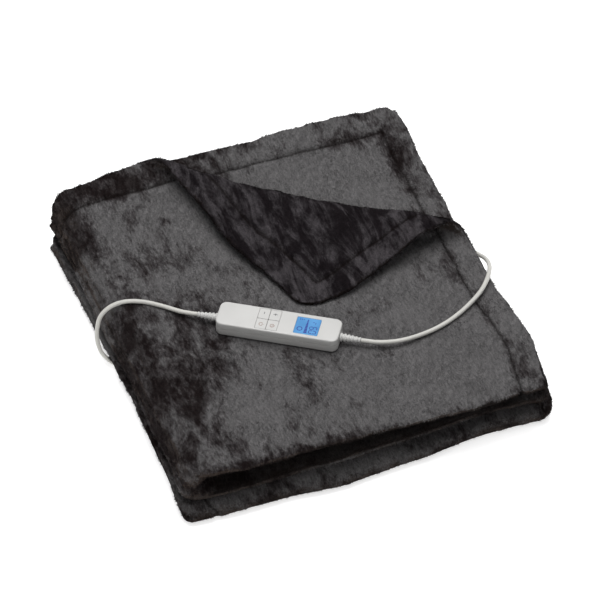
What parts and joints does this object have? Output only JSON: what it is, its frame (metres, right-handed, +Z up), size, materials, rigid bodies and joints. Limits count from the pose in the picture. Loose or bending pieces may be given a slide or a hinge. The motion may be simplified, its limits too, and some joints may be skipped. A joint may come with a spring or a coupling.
{
  "type": "electric heated blanket",
  "caption": "Folded plush electric heated blanket in a stack with one corner turned back, with its wired hand control, display, press keys, lead, hanked mains cord and flat plug",
  "frame": {"origin": "under the middle of the folded stack's box, on the surface that it rests on", "axes": "+Z up, +Y from the stack's front rolls to its back hems, +X from its folded left side to its right hem"},
  "size_m": [0.447, 0.5174, 0.1099],
  "materials": {
    "plush": "crushed short-pile plush, charcoal, with brushed lighter and darker patches",
    "white_plastic": "fine satin moulded plastic",
    "pale_plastic": "fine satin moulded plastic, pale grey",
    "key_plastic": "satin key caps with printed symbols",
    "display_glass": "clear window over a lit blue display",
    "white_cord": "smooth white cable sheath",
    "dark_plastic": "black moulded plastic",
    "pin_metal": "nickel-plated pins"
  },
  "bodies": {
    "stack": {"blanket": "plush", "handset_base": "pale_plastic", "handset_cover": "white_plastic", "display_window": "display_glass", "relief_left": "white_plastic", "relief_right": "white_plastic", "lead_cord": "white_cord", "lead_socket": "dark_plastic", "mains_cord": "white_cord", "mains_tail": "white_cord", "cord_hank": "white_cord", "hank_tie": "dark_plastic", "plug_body": "white_plastic", "plug_pin_left": "pin_metal", "plug_pin_right": "pin_metal"},
    "minus_key": {"key_minus": "key_plastic"},
    "plus_key": {"key_plus": "key_plastic"},
    "power_key": {"key_power": "key_plastic"},
    "timer_key": {"key_timer": "key_plastic"}
  },
  "joints": [
    {"name": "minus_press", "type": "slide", "parent": "stack", "child": "minus_key", "axis": [0, 0, -1], "range_m": [0, 0.0007], "stiffness_N_per_m": 400},
    {"name": "plus_press", "type": "slide", "parent": "stack", "child": "plus_key", "axis": [0, 0, -1], "range_m": [0, 0.0007], "stiffness_N_per_m": 400},
    {"name": "power_press", "type": "slide", "parent": "stack", "child": "power_key", "axis": [0, 0, -1], "range_m": [0, 0.0007], "stiffness_N_per_m": 400},
    {"name": "timer_press", "type": "slide", "parent": "stack", "child": "timer_key", "axis": [0, 0, -1], "range_m": [0, 0.0007], "stiffness_N_per_m": 400}
  ]
}
